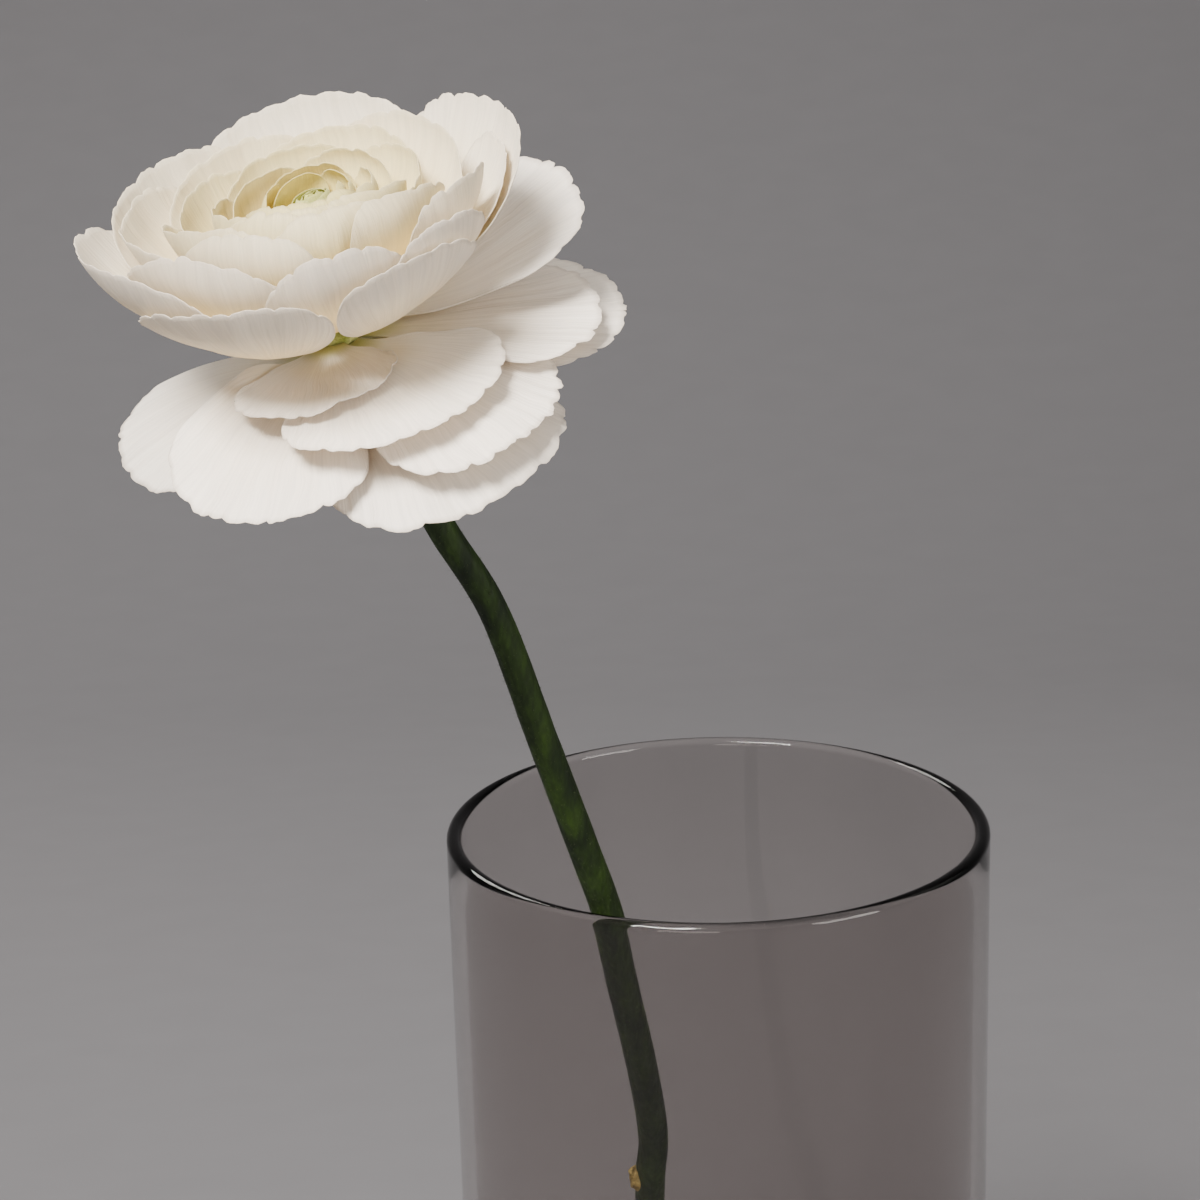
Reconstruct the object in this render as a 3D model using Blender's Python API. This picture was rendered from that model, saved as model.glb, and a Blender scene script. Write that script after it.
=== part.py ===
"""A ranunculus flower on its stem, leaning in a plain cylindrical glass vase."""

import bmesh
import bpy
import numpy as np
from mathutils import Matrix, Vector

MM = 0.001  # sizes below are in millimetres, and the scene is in metres

# Vase: a straight glass cylinder, standing on the origin.
VASE_RADIUS = 50.0
VASE_HEIGHT = 200.0
VASE_WALL = 2.8
VASE_FLOOR = 8.0
VASE_FOOT_ROUND = 2.0
VASE_INNER_ROUND = 3.0
VASE_SEGMENTS = 56
FIT_GAP = 0.3  # left wherever one piece rests on another

# Stem: from its cut end on the vase floor, over the near rim, up to the flower.
STEM_ROUTE = (
    (-11.5, 36.5, 11.6),
    (-12.6, 18.5, 60.0),
    (-14.3, -1.0, 106.0),
    (-14.6, -12.0, 134.0),
    (-14.1, -16.6, 146.0),
    (-16.2, -24.0, 163.0),
    (-19.5, -31.0, 182.0),
    (-22.3, -36.2, 197.5),
    (-26.3, -42.1, 212.0),
    (-32.7, -49.8, 234.0),
    (-39.8, -57.2, 258.0),
    (-47.2, -62.6, 273.0),
    (-53.4, -66.2, 286.0),
)
STEM_RADIUS_FOOT = 2.9
STEM_RADIUS_RIM = 2.7
STEM_RADIUS_TOP = 2.3
STEM_SPACING = 8.5  # between the points along it
NUB_AT = 0.412  # where a leaf was cut off, as a share of the stem's length
NUB_SIZE = (1.9, 2.0, 3.0)  # half sizes of its scar: across, deep, along the stem
NUB_OUT = 2.2  # from the stem's middle to the scar's

# Flower: the point its petals grow from, and the direction it faces.
FLOWER_POINT = (-62.4, -72.7, 307.4)
FLOWER_FACES = (-0.184, -0.344, 0.921)

# Receptacle: the small dome the petals sit on, narrowing to the stem.
DOME_RADIUS = 4.8
DOME_HEIGHT = 7.0
NECK_DEPTH = 8.0
NECK_RADIUS = 2.4
PETAL_STANDOFF = 0.6  # from the dome to the middle of a petal's base

# Bowl petals: each one lies on a shell of its own, wholly outside the shell before it.
BOWL_COUNT = 37
GOLDEN_ANGLE = 137.5
OUTERMOST_TURN = 250.0  # where the last petal would point, anticlockwise from the flower's right
BOWL_HALF_WIDTH_INNER = 56.0  # degrees either side of a petal's middle
BOWL_HALF_WIDTH_OUTER = 43.0
BOWL_THICKNESS = 0.26
BOWL_CUP = 0.8  # how far a petal's side edges come in from its middle
BOWL_BASE_RISE = 24.0  # degrees that the outermost petal's base already climbs
BOWL_CORNER = 0.6  # how far up a petal's side edges reach
BOWL_OUTLINE = 2.8  # the higher, the flatter a petal's top
HEART_SHIFT = (2.4, 1.8)  # how far the heart sits right of and behind the flower's axis

# The rims of the shells. The shell's level runs from 0, the innermost, to 1, the outermost.
# The flower is open at its back and sides, and its front leans in over the heart.
# Radius and height are in millimetres, and lean is in degrees outwards at the rim.
SHELL_LEVELS = (0.0, 0.14, 0.42, 0.5, 0.64, 0.75, 0.82, 1.0)
OPEN_SIDE = {
    "radius": (4.0, 6.6, 16.5, 19.0, 23.0, 28.5, 30.9, 33.4),
    "height": (21.6, 21.6, 21.4, 21.6, 21.9, 22.1, 22.3, 22.6),
    "lean": (-52.0, -38.0, -6.0, -1.0, 3.0, 6.0, 8.0, 13.0),
}
CLOSED_FRONT = {
    "radius": (3.8, 5.2, 8.2, 10.4, 14.4, 19.6, 24.0, 28.8),
    "height": (21.4, 22.0, 22.8, 23.0, 23.4, 23.4, 23.6, 21.8),
    "lean": (-54.0, -56.0, -50.0, -48.0, -40.0, -28.0, -12.0, 6.0),
}
FRONT_TURN = 270.0  # the middle of the closed front
FRONT_SPREAD = (38.0, 92.0)  # degrees from there: wholly closed, and wholly open

# Single bowl petals that grew differently, by number. turn replaces the golden angle's, width
# and length are shares of the usual, tilt lifts the anticlockwise corner, and open is how far
# the tip has opened outwards, in millimetres.
BOWL_SPECIAL = {
    37: {"turn": 244.0, "width": 0.85, "length": 0.95, "tilt": 0.06, "corner": 0.74, "outline": 3.4},
    36: {"turn": 311.0, "width": 0.68, "length": 0.94, "tilt": -0.07, "corner": 0.7, "outline": 3.0},
    35: {"turn": 27.0, "width": 0.80, "corner": 0.72, "outline": 3.2, "open": 1.2},
    34: {"turn": 200.0, "width": 0.95, "corner": 0.74, "outline": 3.2},
    33: {"turn": 322.0, "width": 0.54, "length": 0.97},
    32: {"turn": 12.0, "width": 0.46, "length": 0.93, "corner": 0.75},
    31: {"turn": 285.0, "width": 0.64},
    30: {"turn": 93.0},
    29: {"turn": 230.0, "width": 0.9},
    28: {"turn": 145.0, "width": 0.92},
    27: {"turn": 345.0, "width": 0.55},
    24: {"turn": 240.0, "width": 0.9},
    22: {"turn": 332.0, "width": 0.7},
}

# Skirt petals: the opened ones under the bowl, from the top one down. turn, half_width
# and droop are in degrees; reach and twist are in millimetres. A skew above zero makes a
# petal longer on its anticlockwise side, and a twist above zero lifts that side.
SKIRT_PETALS = (
    {"turn": 267, "half_width": 44, "reach": 22.5, "droop": 3.0, "skew": -0.16, "twist": 0},
    {"turn": 28, "half_width": 30, "reach": 44.0, "droop": -9.0, "skew": 0.08, "twist": 0},
    {"turn": 298, "half_width": 47, "reach": 31.5, "droop": 5.3, "skew": 0, "twist": 0},
    {"turn": 5, "half_width": 31, "reach": 39.8, "droop": 7.6, "skew": 0, "twist": 0},
    {"turn": 316, "half_width": 34, "reach": 37.8, "droop": 9.8, "skew": 0, "twist": 0},
    {"turn": 246, "half_width": 34, "reach": 36.5, "droop": 10.5, "skew": 0, "twist": 0},
    {"turn": 15, "half_width": 33, "reach": 45.0, "droop": 10.6, "skew": 0.11, "twist": 0},
    {"turn": 193, "half_width": 32, "reach": 36.5, "droop": 10.0, "skew": -0.1, "twist": -1.4},
    {"turn": 306, "half_width": 42, "reach": 39.5, "droop": 14.2, "skew": 0, "twist": 0},
)
SKIRT_THICKNESS = 0.34
SKIRT_FIRST_DROP = 0.8  # below the dome's edge, at the base of the top one
SKIRT_STEP = 0.5  # from one base down to the next

# Sepals: five small green ones folded back under the skirt.
SEPAL_COUNT = 5
SEPAL_REACH = 15.5
SEPAL_HALF_WIDTH = 22.0
SEPAL_TURN = 24.0
SEPAL_DROP = 6.1
SEPAL_THICKNESS = 0.4

# Heart: the closed green bud in the middle.
HEART_RADIUS = 2.5
HEART_TOP = 20.6


def unit(vector):
    vector = np.asarray(vector, float)
    return vector / np.linalg.norm(vector)


FACES = unit(FLOWER_FACES)
RIGHT = unit(np.array([1.0, 0.0, 0.0]) - FACES * FACES[0])
BACK = np.cross(FACES, RIGHT)


def mix(first, last, share):
    return first + (last - first) * share


def ease(share):
    share = np.clip(share, 0.0, 1.0)
    return share * share * (3.0 - 2.0 * share)


def material(name, colour, roughness, alpha=1.0, transmission=0.0):
    made = bpy.data.materials.new(name)
    made.use_nodes = True
    shader = made.node_tree.nodes["Principled BSDF"]
    shader.inputs["Base Color"].default_value = (*colour, 1.0)
    shader.inputs["Roughness"].default_value = roughness
    shader.inputs["Metallic"].default_value = 0.0
    shader.inputs["Alpha"].default_value = alpha
    shader.inputs["Transmission Weight"].default_value = transmission
    made.diffuse_color = (*colour, alpha)
    return made


def add(name, mesh, look, parent=None):
    """Puts a mesh in the scene under this name, smooth shaded."""
    mesh.shade_smooth()
    mesh.materials.append(look)
    made = bpy.data.objects.new(name, mesh)
    made.parent = parent
    bpy.context.scene.collection.objects.link(made)
    return made


def flower_empty():
    """An empty on the receptacle whose Z is the flower's axis, for its pieces to hang from."""
    empty = bpy.data.objects.new("flower_axis", None)
    turned = Matrix((RIGHT, BACK, FACES)).transposed().to_4x4()
    empty.matrix_world = Matrix.Translation(Vector(FLOWER_POINT) * MM) @ turned
    bpy.context.scene.collection.objects.link(empty)
    return empty


def curve_point(ends, share):
    """The point this share of the way along a cubic Bezier, given its four control points."""
    first, second, third, last = (np.asarray(p, float) for p in ends)
    share = np.asarray(share, float)[..., None]
    rest = 1.0 - share
    return (
        rest**3 * first
        + 3.0 * rest**2 * share * second
        + 3.0 * rest * share**2 * third
        + share**3 * last
    )


def turned(name, profile, look, sides, parent=None):
    """A closed body from a profile, radius and height from the top down, turned round Z."""
    mesh = bpy.data.meshes.new(name)
    points = [(radius * MM, 0.0, height * MM) for radius, height in profile]
    mesh.from_pydata(points, [(i, i + 1) for i in range(len(points) - 1)], [])
    made = add(name, mesh, look, parent)
    screw = made.modifiers.new("turn", "SCREW")
    screw.steps = sides
    screw.render_steps = sides
    screw.use_merge_vertices = True
    screw.merge_threshold = 0.00001
    screw.use_smooth_shade = True
    return made


def sheet(name, grid, thickness, look, parent):
    """A petal: a grid of points in millimetres, given its thickness by a Solidify."""
    rows, columns = grid.shape[:2]
    shape = bmesh.new()
    bmesh.ops.create_grid(shape, x_segments=columns - 1, y_segments=rows - 1, size=1.0)
    for corner in shape.verts:
        column = round((corner.co.x + 1.0) / 2.0 * (columns - 1))
        row = round((corner.co.y + 1.0) / 2.0 * (rows - 1))
        corner.co = Vector(grid[row, column]) * MM
    mesh = bpy.data.meshes.new(name)
    shape.to_mesh(mesh)
    shape.free()
    made = add(name, mesh, look, parent)
    solidify = made.modifiers.new("thickness", "SOLIDIFY")
    solidify.thickness = thickness * MM
    solidify.offset = 0.0
    return made


def make_vase(look):
    inner = VASE_RADIUS - VASE_WALL
    lip = VASE_WALL / 2.0
    profile = [(0.0, VASE_FLOOR)]
    for angle in np.radians((90.0, 60.0, 30.0, 0.0)):
        out = inner - VASE_INNER_ROUND + VASE_INNER_ROUND * np.cos(angle)
        profile.append((out, VASE_FLOOR + VASE_INNER_ROUND * (1.0 - np.sin(angle))))
    for angle in np.radians((180.0, 150.0, 120.0, 90.0, 60.0, 30.0, 0.0)):
        out = VASE_RADIUS - lip + lip * np.cos(angle)
        profile.append((out, VASE_HEIGHT - lip + lip * np.sin(angle)))
    for angle in np.radians((90.0, 60.0, 30.0, 0.0)):
        out = VASE_RADIUS - VASE_FOOT_ROUND + VASE_FOOT_ROUND * np.sin(angle)
        profile.append((out, VASE_FOOT_ROUND * (1.0 - np.cos(angle))))
    profile.append((0.0, 0.0))
    return turned("vase", profile, look, VASE_SEGMENTS)


def stem_points():
    """Evenly spaced points up the middle of the stem, on a smooth curve through its route."""
    top = np.array(FLOWER_POINT) - FACES * (NECK_DEPTH + FIT_GAP + 0.15)
    knots = np.array([*STEM_ROUTE, top - FACES * 7.0, top])
    knots = np.array([2.0 * knots[0] - knots[1], *knots, top + FACES * 7.0])
    points = []
    for start in range(1, len(knots) - 2):
        p0, p1, p2, p3 = knots[start - 1 : start + 3]
        for share in np.arange(0.0, 1.0, 0.05):
            points.append(
                0.5
                * (
                    2.0 * p1
                    + (p2 - p0) * share
                    + (2.0 * p0 - 5.0 * p1 + 4.0 * p2 - p3) * share**2
                    + (3.0 * p1 - p0 - 3.0 * p2 + p3) * share**3
                )
            )
    points = np.array([*points, top])
    steps = np.linalg.norm(np.diff(points, axis=0), axis=1)
    lengths = np.concatenate([[0.0], np.cumsum(steps)])
    wanted = np.linspace(0.0, lengths[-1], round(lengths[-1] / STEM_SPACING) + 1)
    evenly = [np.interp(wanted, lengths, points[:, k]) for k in range(3)]
    return np.stack(evenly, axis=-1), wanted / lengths[-1]


def stem_radius(share):
    lower = mix(STEM_RADIUS_FOOT, STEM_RADIUS_RIM, np.clip(share / 0.62, 0.0, 1.0))
    return mix(lower, STEM_RADIUS_TOP, ease((share - 0.62) / 0.36))


def make_stem(look):
    """A bevelled curve made into a mesh, with the scar of a cut leaf joined on its left."""
    path, shares = stem_points()
    curve = bpy.data.curves.new("stem_curve", "CURVE")
    curve.dimensions = "3D"
    curve.bevel_depth = MM
    curve.bevel_resolution = 2
    curve.use_fill_caps = True
    spline = curve.splines.new("POLY")
    spline.points.add(len(path) - 1)
    for point, place, share in zip(spline.points, path, shares):
        point.co = (*(place * MM), 1.0)
        point.radius = stem_radius(share)
    guide = bpy.data.objects.new("stem_curve", curve)
    bpy.context.scene.collection.objects.link(guide)
    bpy.context.view_layer.update()
    mesh = bpy.data.meshes.new_from_object(guide.evaluated_get(bpy.context.evaluated_depsgraph_get()))
    bpy.data.objects.remove(guide, do_unlink=True)
    shape = bmesh.new()
    shape.from_mesh(mesh)
    bmesh.ops.remove_doubles(shape, verts=shape.verts, dist=0.000001)
    bmesh.ops.recalc_face_normals(shape, faces=shape.faces)
    shape.to_mesh(mesh)
    shape.free()
    stem = add("stem", mesh, look)

    nub_mesh = bpy.data.meshes.new("nub")
    shape = bmesh.new()
    bmesh.ops.create_icosphere(shape, subdivisions=2, radius=1.0)
    bmesh.ops.scale(shape, verts=shape.verts, vec=Vector(NUB_SIZE) * MM)
    shape.to_mesh(nub_mesh)
    shape.free()
    nub = add("nub", nub_mesh, look)
    row = int(NUB_AT * (len(path) - 1))
    place = mix(path[row], path[row + 1], NUB_AT * (len(path) - 1) - row)
    nub.location = Vector(place - np.array([NUB_OUT, 0.0, 0.0])) * MM
    nub.rotation_euler = (np.radians(22.0), np.radians(-12.0), 0.0)
    nub.hide_render = True
    nub.display_type = "WIRE"
    join = stem.modifiers.new("nub", "BOOLEAN")
    join.operation = "UNION"
    join.object = nub
    return stem


def make_receptacle(look, parent):
    profile = [(0.0, DOME_HEIGHT)]
    for angle in np.radians((22.0, 45.0, 68.0)):
        profile.append((DOME_RADIUS * np.sin(angle), DOME_HEIGHT * np.cos(angle)))
    for share in (1.0, 0.7, 0.35, 0.0):
        height = -NECK_DEPTH * (1.0 - share)
        profile.append((neck_radius(height), height))
    profile.append((0.0, -NECK_DEPTH))
    return turned("receptacle", profile, look, 20, parent)


def neck_radius(height):
    """The receptacle's radius at this height below its dome."""
    share = np.clip(1.0 + height / NECK_DEPTH, 0.0, 1.0)
    return mix(NECK_RADIUS, DOME_RADIUS, share**1.6)


def make_heart(look, parent):
    """A closed bud with three folded lobes, pinched into a slit at the top."""
    bottom = DOME_HEIGHT + FIT_GAP + 0.1
    shape = bmesh.new()
    bmesh.ops.create_uvsphere(shape, u_segments=18, v_segments=12, radius=1.0)
    for corner in shape.verts:
        share = (corner.co.z + 1.0) / 2.0
        turn = np.arctan2(corner.co.y, corner.co.x)
        folds = 1.0 + 0.07 * np.cos(3.0 * turn + 3.0 * share)
        slit = 1.0 - 0.35 * share**3 * np.cos(2.0 * (turn - 0.5)) ** 2
        reach = HEART_RADIUS * folds * slit
        shift = ease(share)
        corner.co = Vector(
            (
                corner.co.x * reach + HEART_SHIFT[0] * shift,
                corner.co.y * reach + HEART_SHIFT[1] * shift,
                mix(bottom, HEART_TOP, share),
            )
        ) * MM
    mesh = bpy.data.meshes.new("heart")
    shape.to_mesh(mesh)
    shape.free()
    return add("heart", mesh, look, parent)


def shell_rim(what, level, front):
    """The rim's radius, height or lean, between the open side's (front 0) and the closed front's."""
    open_side = np.interp(level, SHELL_LEVELS, OPEN_SIDE[what])
    closed_front = np.interp(level, SHELL_LEVELS, CLOSED_FRONT[what])
    return mix(open_side, closed_front, front)


def bowl_profile(level, direction):
    """The Bezier from base to rim of one shell, in each direction given in degrees."""
    angle = np.radians(mix(14.0, 90.0, level))
    out = unit((np.sin(angle) / DOME_RADIUS, np.cos(angle) / DOME_HEIGHT))
    base = np.array([DOME_RADIUS * np.sin(angle), DOME_HEIGHT * np.cos(angle)])
    base = base + out * PETAL_STANDOFF
    rise = np.radians(BOWL_BASE_RISE * level)
    way = unit((out[0] * np.cos(rise) - out[1] * np.sin(rise), out[1] + np.sin(rise)))
    apart = np.abs((direction - FRONT_TURN + 180.0) % 360.0 - 180.0)
    closed, opened = FRONT_SPREAD
    front = ease((opened - apart) / (opened - closed))
    rim = np.stack([shell_rim("radius", level, front), shell_rim("height", level, front)], axis=-1)
    lean = np.radians(shell_rim("lean", level, front))
    far = np.linalg.norm(rim - base, axis=-1)[..., None]
    second = base + way * far * mix(0.36, 0.34, level)
    back = np.stack([np.sin(lean), np.cos(lean)], axis=-1)
    third = rim - back * far * mix(0.36, 0.42, level)
    return base, second, third, rim


def rounded_top(across, corner, outline=2.4):
    """How far up a petal reaches, from its middle (0) to its side edge (1)."""
    return corner + (1.0 - corner) * (1.0 - np.abs(across) ** outline) ** 0.5


def petal_places(rows, columns):
    """Where a petal's grid points lie: across from -1 to 1, and up from 0 to 1."""
    across = np.sin(np.linspace(-0.5, 0.5, columns) * np.pi * 0.96)[None, :]
    return across, np.linspace(0.0, 1.0, rows)[:, None]


def bowl_grid(level, turn, special, rows, columns):
    """The middle surface of one bowl petal."""
    half_width = np.radians(mix(BOWL_HALF_WIDTH_INNER, BOWL_HALF_WIDTH_OUTER, level))
    half_width = half_width * special.get("width", 1.0)
    across, up = petal_places(rows, columns)
    widest_at = mix(0.55, 0.95, level)
    widening = ease(up / widest_at) ** mix(1.0, 1.3, level)
    spread = half_width * across * mix(mix(0.5, 0.28, level), 1.0, widening)
    angle = np.radians(special.get("turn", turn)) + spread
    top = rounded_top(across, special.get("corner", BOWL_CORNER), special.get("outline", BOWL_OUTLINE))
    share = up * (top + special.get("tilt", 0.0) * across) * special.get("length", 1.0)
    spot = curve_point(bowl_profile(level, np.degrees(angle)), share)
    cup = BOWL_CUP * mix(0.4, 1.0, level) * across**2 * ease(share / 0.5)
    opened = special.get("open", 0.0) * up**3 * (1.0 - 0.6 * across**2)
    reach = spot[..., 0] - cup + opened
    shift = (1.0 - level) * ease(share)
    right = reach * np.cos(angle) + HEART_SHIFT[0] * shift
    back = reach * np.sin(angle) + HEART_SHIFT[1] * shift
    return np.stack([right, back, spot[..., 1]], axis=-1)


def make_bowl(look, parent):
    for index in range(BOWL_COUNT):
        level = index / (BOWL_COUNT - 1.0)
        turn = OUTERMOST_TURN + GOLDEN_ANGLE * (index - BOWL_COUNT + 1)
        grid = bowl_grid(level, turn, BOWL_SPECIAL.get(index + 1, {}), 6, 9)
        sheet(f"bowl_petal_{index + 1:02d}", grid, BOWL_THICKNESS, look, parent)


def skirt_profile(index, petal):
    """The Bezier that a skirt petal's middle line follows, from the dome's edge outwards."""
    drop = SKIRT_FIRST_DROP + SKIRT_STEP * index
    base = np.array([neck_radius(-drop) + PETAL_STANDOFF, -drop])
    slope = np.radians(petal["droop"])
    reach = petal["reach"]
    rim = np.array([reach * np.cos(slope), -drop - reach * np.sin(slope)])
    second = base + np.array([reach * 0.33, -0.01 * reach])
    third = rim - np.array([np.cos(slope * 1.6), -np.sin(slope * 1.6)]) * reach * 0.3
    return base, second, third, rim


def skirt_grid(index, petal, rows, columns):
    """The middle surface of one skirt petal."""
    across, out = petal_places(rows, columns)
    share = out * rounded_top(across, 0.62) * (1.0 + petal["skew"] * across)
    spot = curve_point(skirt_profile(index, petal), share)
    spread = np.radians(petal["half_width"]) * mix(0.45, 1.0, ease(out / 0.5))
    angle = np.radians(petal["turn"]) + spread * across
    height = spot[..., 1] + petal["twist"] * across * ease(share)
    return np.stack([spot[..., 0] * np.cos(angle), spot[..., 0] * np.sin(angle), height], axis=-1)


def make_skirt(look, parent):
    for index, petal in enumerate(SKIRT_PETALS):
        grid = skirt_grid(index, petal, 6, 10)
        sheet(f"skirt_petal_{index + 1:02d}", grid, SKIRT_THICKNESS, look, parent)


def make_sepals(look, parent):
    base = (neck_radius(-SEPAL_DROP) + PETAL_STANDOFF, -SEPAL_DROP)
    rim = (SEPAL_REACH, -SEPAL_DROP - 3.6)
    ends = (base, (7.0, -SEPAL_DROP + 0.3), (11.0, -SEPAL_DROP - 0.4), rim)
    out = np.linspace(0.0, 1.0, 6)[:, None]
    across = np.linspace(-1.0, 1.0, 5)[None, :]
    spot = curve_point(ends, out + 0.0 * across)
    spread = np.radians(SEPAL_HALF_WIDTH) * np.sin(np.pi * (0.22 + 0.72 * out)) ** 0.8
    height = spot[..., 1] + 0.5 * across**2
    for index in range(SEPAL_COUNT):
        angle = np.radians(SEPAL_TURN + 360.0 / SEPAL_COUNT * index) + spread * across
        points = (spot[..., 0] * np.cos(angle), spot[..., 0] * np.sin(angle), height)
        sheet(f"sepal_{index + 1}", np.stack(points, axis=-1), SEPAL_THICKNESS, look, parent)


def main():
    for thing in list(bpy.data.objects):
        bpy.data.objects.remove(thing, do_unlink=True)
    make_vase(material("vase_glass", (0.86, 0.87, 0.87), 0.03, 0.35, 0.9))
    make_stem(material("stem_green", (0.045, 0.085, 0.03), 0.6))
    flower = flower_empty()
    make_receptacle(material("receptacle_green", (0.42, 0.45, 0.14), 0.6), flower)
    make_heart(material("heart_green", (0.62, 0.62, 0.16), 0.55), flower)
    make_sepals(material("sepal_green", (0.06, 0.12, 0.04), 0.65), flower)
    make_bowl(material("bowl_petal_cream", (0.87, 0.83, 0.74), 0.55), flower)
    make_skirt(material("skirt_petal_cream", (0.86, 0.83, 0.78), 0.55), flower)


main()
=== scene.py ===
import bpy
import numpy as np
from mathutils import Matrix, Vector


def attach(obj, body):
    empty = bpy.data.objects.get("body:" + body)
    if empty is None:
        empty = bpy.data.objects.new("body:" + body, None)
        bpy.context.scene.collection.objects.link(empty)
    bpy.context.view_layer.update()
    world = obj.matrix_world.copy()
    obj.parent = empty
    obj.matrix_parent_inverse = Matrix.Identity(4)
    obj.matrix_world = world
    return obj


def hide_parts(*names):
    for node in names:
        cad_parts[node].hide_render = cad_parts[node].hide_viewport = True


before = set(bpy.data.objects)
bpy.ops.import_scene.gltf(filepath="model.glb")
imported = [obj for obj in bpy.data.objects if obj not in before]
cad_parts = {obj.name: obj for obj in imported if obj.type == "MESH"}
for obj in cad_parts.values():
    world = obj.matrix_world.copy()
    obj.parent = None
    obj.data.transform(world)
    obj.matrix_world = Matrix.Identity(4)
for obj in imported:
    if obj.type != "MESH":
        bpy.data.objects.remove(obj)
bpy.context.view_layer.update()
mm = 0.001

# where the flower grows and which way it faces, as in the CAD part, in mm
flower = {
    "point": (-62.4, -72.7, 307.4),
    "faces": (-0.184, -0.344, 0.921),
    "domeRadius": 4.8,
    "domeHeight": 7.0,
    "neckDepth": 8.0,
    "neckRadius": 2.4,
    "standoff": 0.6,
}


def unit(vector):
    vector = np.asarray(vector, float)
    return vector / np.linalg.norm(vector)


def mix(first, last, share):
    return first + (last - first) * share


def ease(share):
    share = np.clip(share, 0.0, 1.0)
    return share * share * (3.0 - 2.0 * share)


def curvePoint(ends, share):
    a, b, c, d = (np.asarray(p, float) for p in ends)
    share = np.asarray(share, float)[..., None]
    rest = 1.0 - share
    return rest**3 * a + 3 * rest**2 * share * b + 3 * rest * share**2 * c + share**3 * d


def curveSpot(ends, share):
    # as curvePoint, for ends that differ from point to point
    share = share[..., None]
    rest = 1.0 - share
    a, b, c, d = ends
    return rest**3 * a + 3 * rest**2 * share * b + 3 * rest * share**2 * c + share**3 * d


def swing(place, chance, slowest, fastest, count=5):
    # a smooth wandering line between about -1 and 1, different for each chance
    total = 0.0
    for step in range(count):
        pace = mix(slowest, fastest, step / max(count - 1, 1)) * chance.uniform(0.85, 1.15)
        total = total + np.sin(place * pace + chance.uniform(0, 2 * np.pi)) * chance.uniform(0.5, 1.0)
    return total / (0.62 * count)


faces = unit(flower["faces"])
right = unit(np.array([1.0, 0.0, 0.0]) - faces * faces[0])
back = np.cross(faces, right)
root = np.array(flower["point"])


def toWorld(grid):
    # flower coordinates (right, back, along the axis) in mm to world metres
    grid = np.asarray(grid, float)
    return (root + grid[..., :1] * right + grid[..., 1:2] * back + grid[..., 2:3] * faces) * mm


def addMesh(name, points, polygons, finish, replaces=()):
    mesh = bpy.data.meshes.new(name)
    mesh.from_pydata([tuple(p) for p in points], [], polygons)
    mesh.validate()
    mesh.shade_smooth()
    mesh.materials.append(finish)
    piece = bpy.data.objects.new(name, mesh)
    bpy.context.scene.collection.objects.link(piece)
    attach(piece, "root")
    if replaces:
        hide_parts(*replaces)
    return piece


def turnedFaces(rings, sides):
    # faces of a turned form: its first point, its rings one after another, its last point
    polygons = [(0, 1 + k, 1 + (k + 1) % sides) for k in range(sides)]
    for ring in range(rings - 1):
        for k in range(sides):
            a, b = 1 + ring * sides + k, 1 + ring * sides + (k + 1) % sides
            polygons.append((a, a + sides, b + sides, b))
    last = 1 + (rings - 1) * sides
    return polygons + [(last + k, last + sides, last + (k + 1) % sides) for k in range(sides)]


def gridNormals(grid):
    along = np.gradient(grid, axis=0)
    across = np.gradient(grid, axis=1)
    normals = np.cross(along, across)
    return normals / np.maximum(np.linalg.norm(normals, axis=-1, keepdims=True), 1e-9)


def borderOf(rows, columns):
    # the places along a grid's border, once around
    ring = [(0, c) for c in range(columns)]
    ring += [(r, columns - 1) for r in range(1, rows)]
    ring += [(rows - 1, c) for c in range(columns - 2, -1, -1)]
    return ring + [(r, 0) for r in range(rows - 2, 0, -1)]


def markPetal(mesh, rows, columns, ringAt, facts, outer, paintedShade):
    # petalMap: across and along the petal, on both faces and the edge
    place = np.stack(
        np.meshgrid(np.linspace(0, 1, columns), np.linspace(0, 1, rows)), axis=-1
    ).reshape(-1, 2)
    place = np.concatenate([place, place, place[ringAt]])
    spots = mesh.uv_layers.new(name="petalMap")
    corners = np.empty(len(mesh.loops), np.int32)
    mesh.loops.foreach_get("vertex_index", corners)
    spots.data.foreach_set("uv", place[corners].astype(np.float32).ravel())
    # petalFacts: level, luck, which face (1 is the outside of the petal, 0 the inside) and painted shade for
    # the whole petal
    below = rows * columns
    told = np.tile(np.array([*facts, 0.5, paintedShade], np.float32), (len(mesh.vertices), 1))
    told[:below, 2] = outer
    told[below : 2 * below, 2] = 1.0 - outer
    kept = mesh.attributes.new("petalFacts", "FLOAT_COLOR", "POINT")
    kept.data.foreach_set("color", told.ravel())


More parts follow.
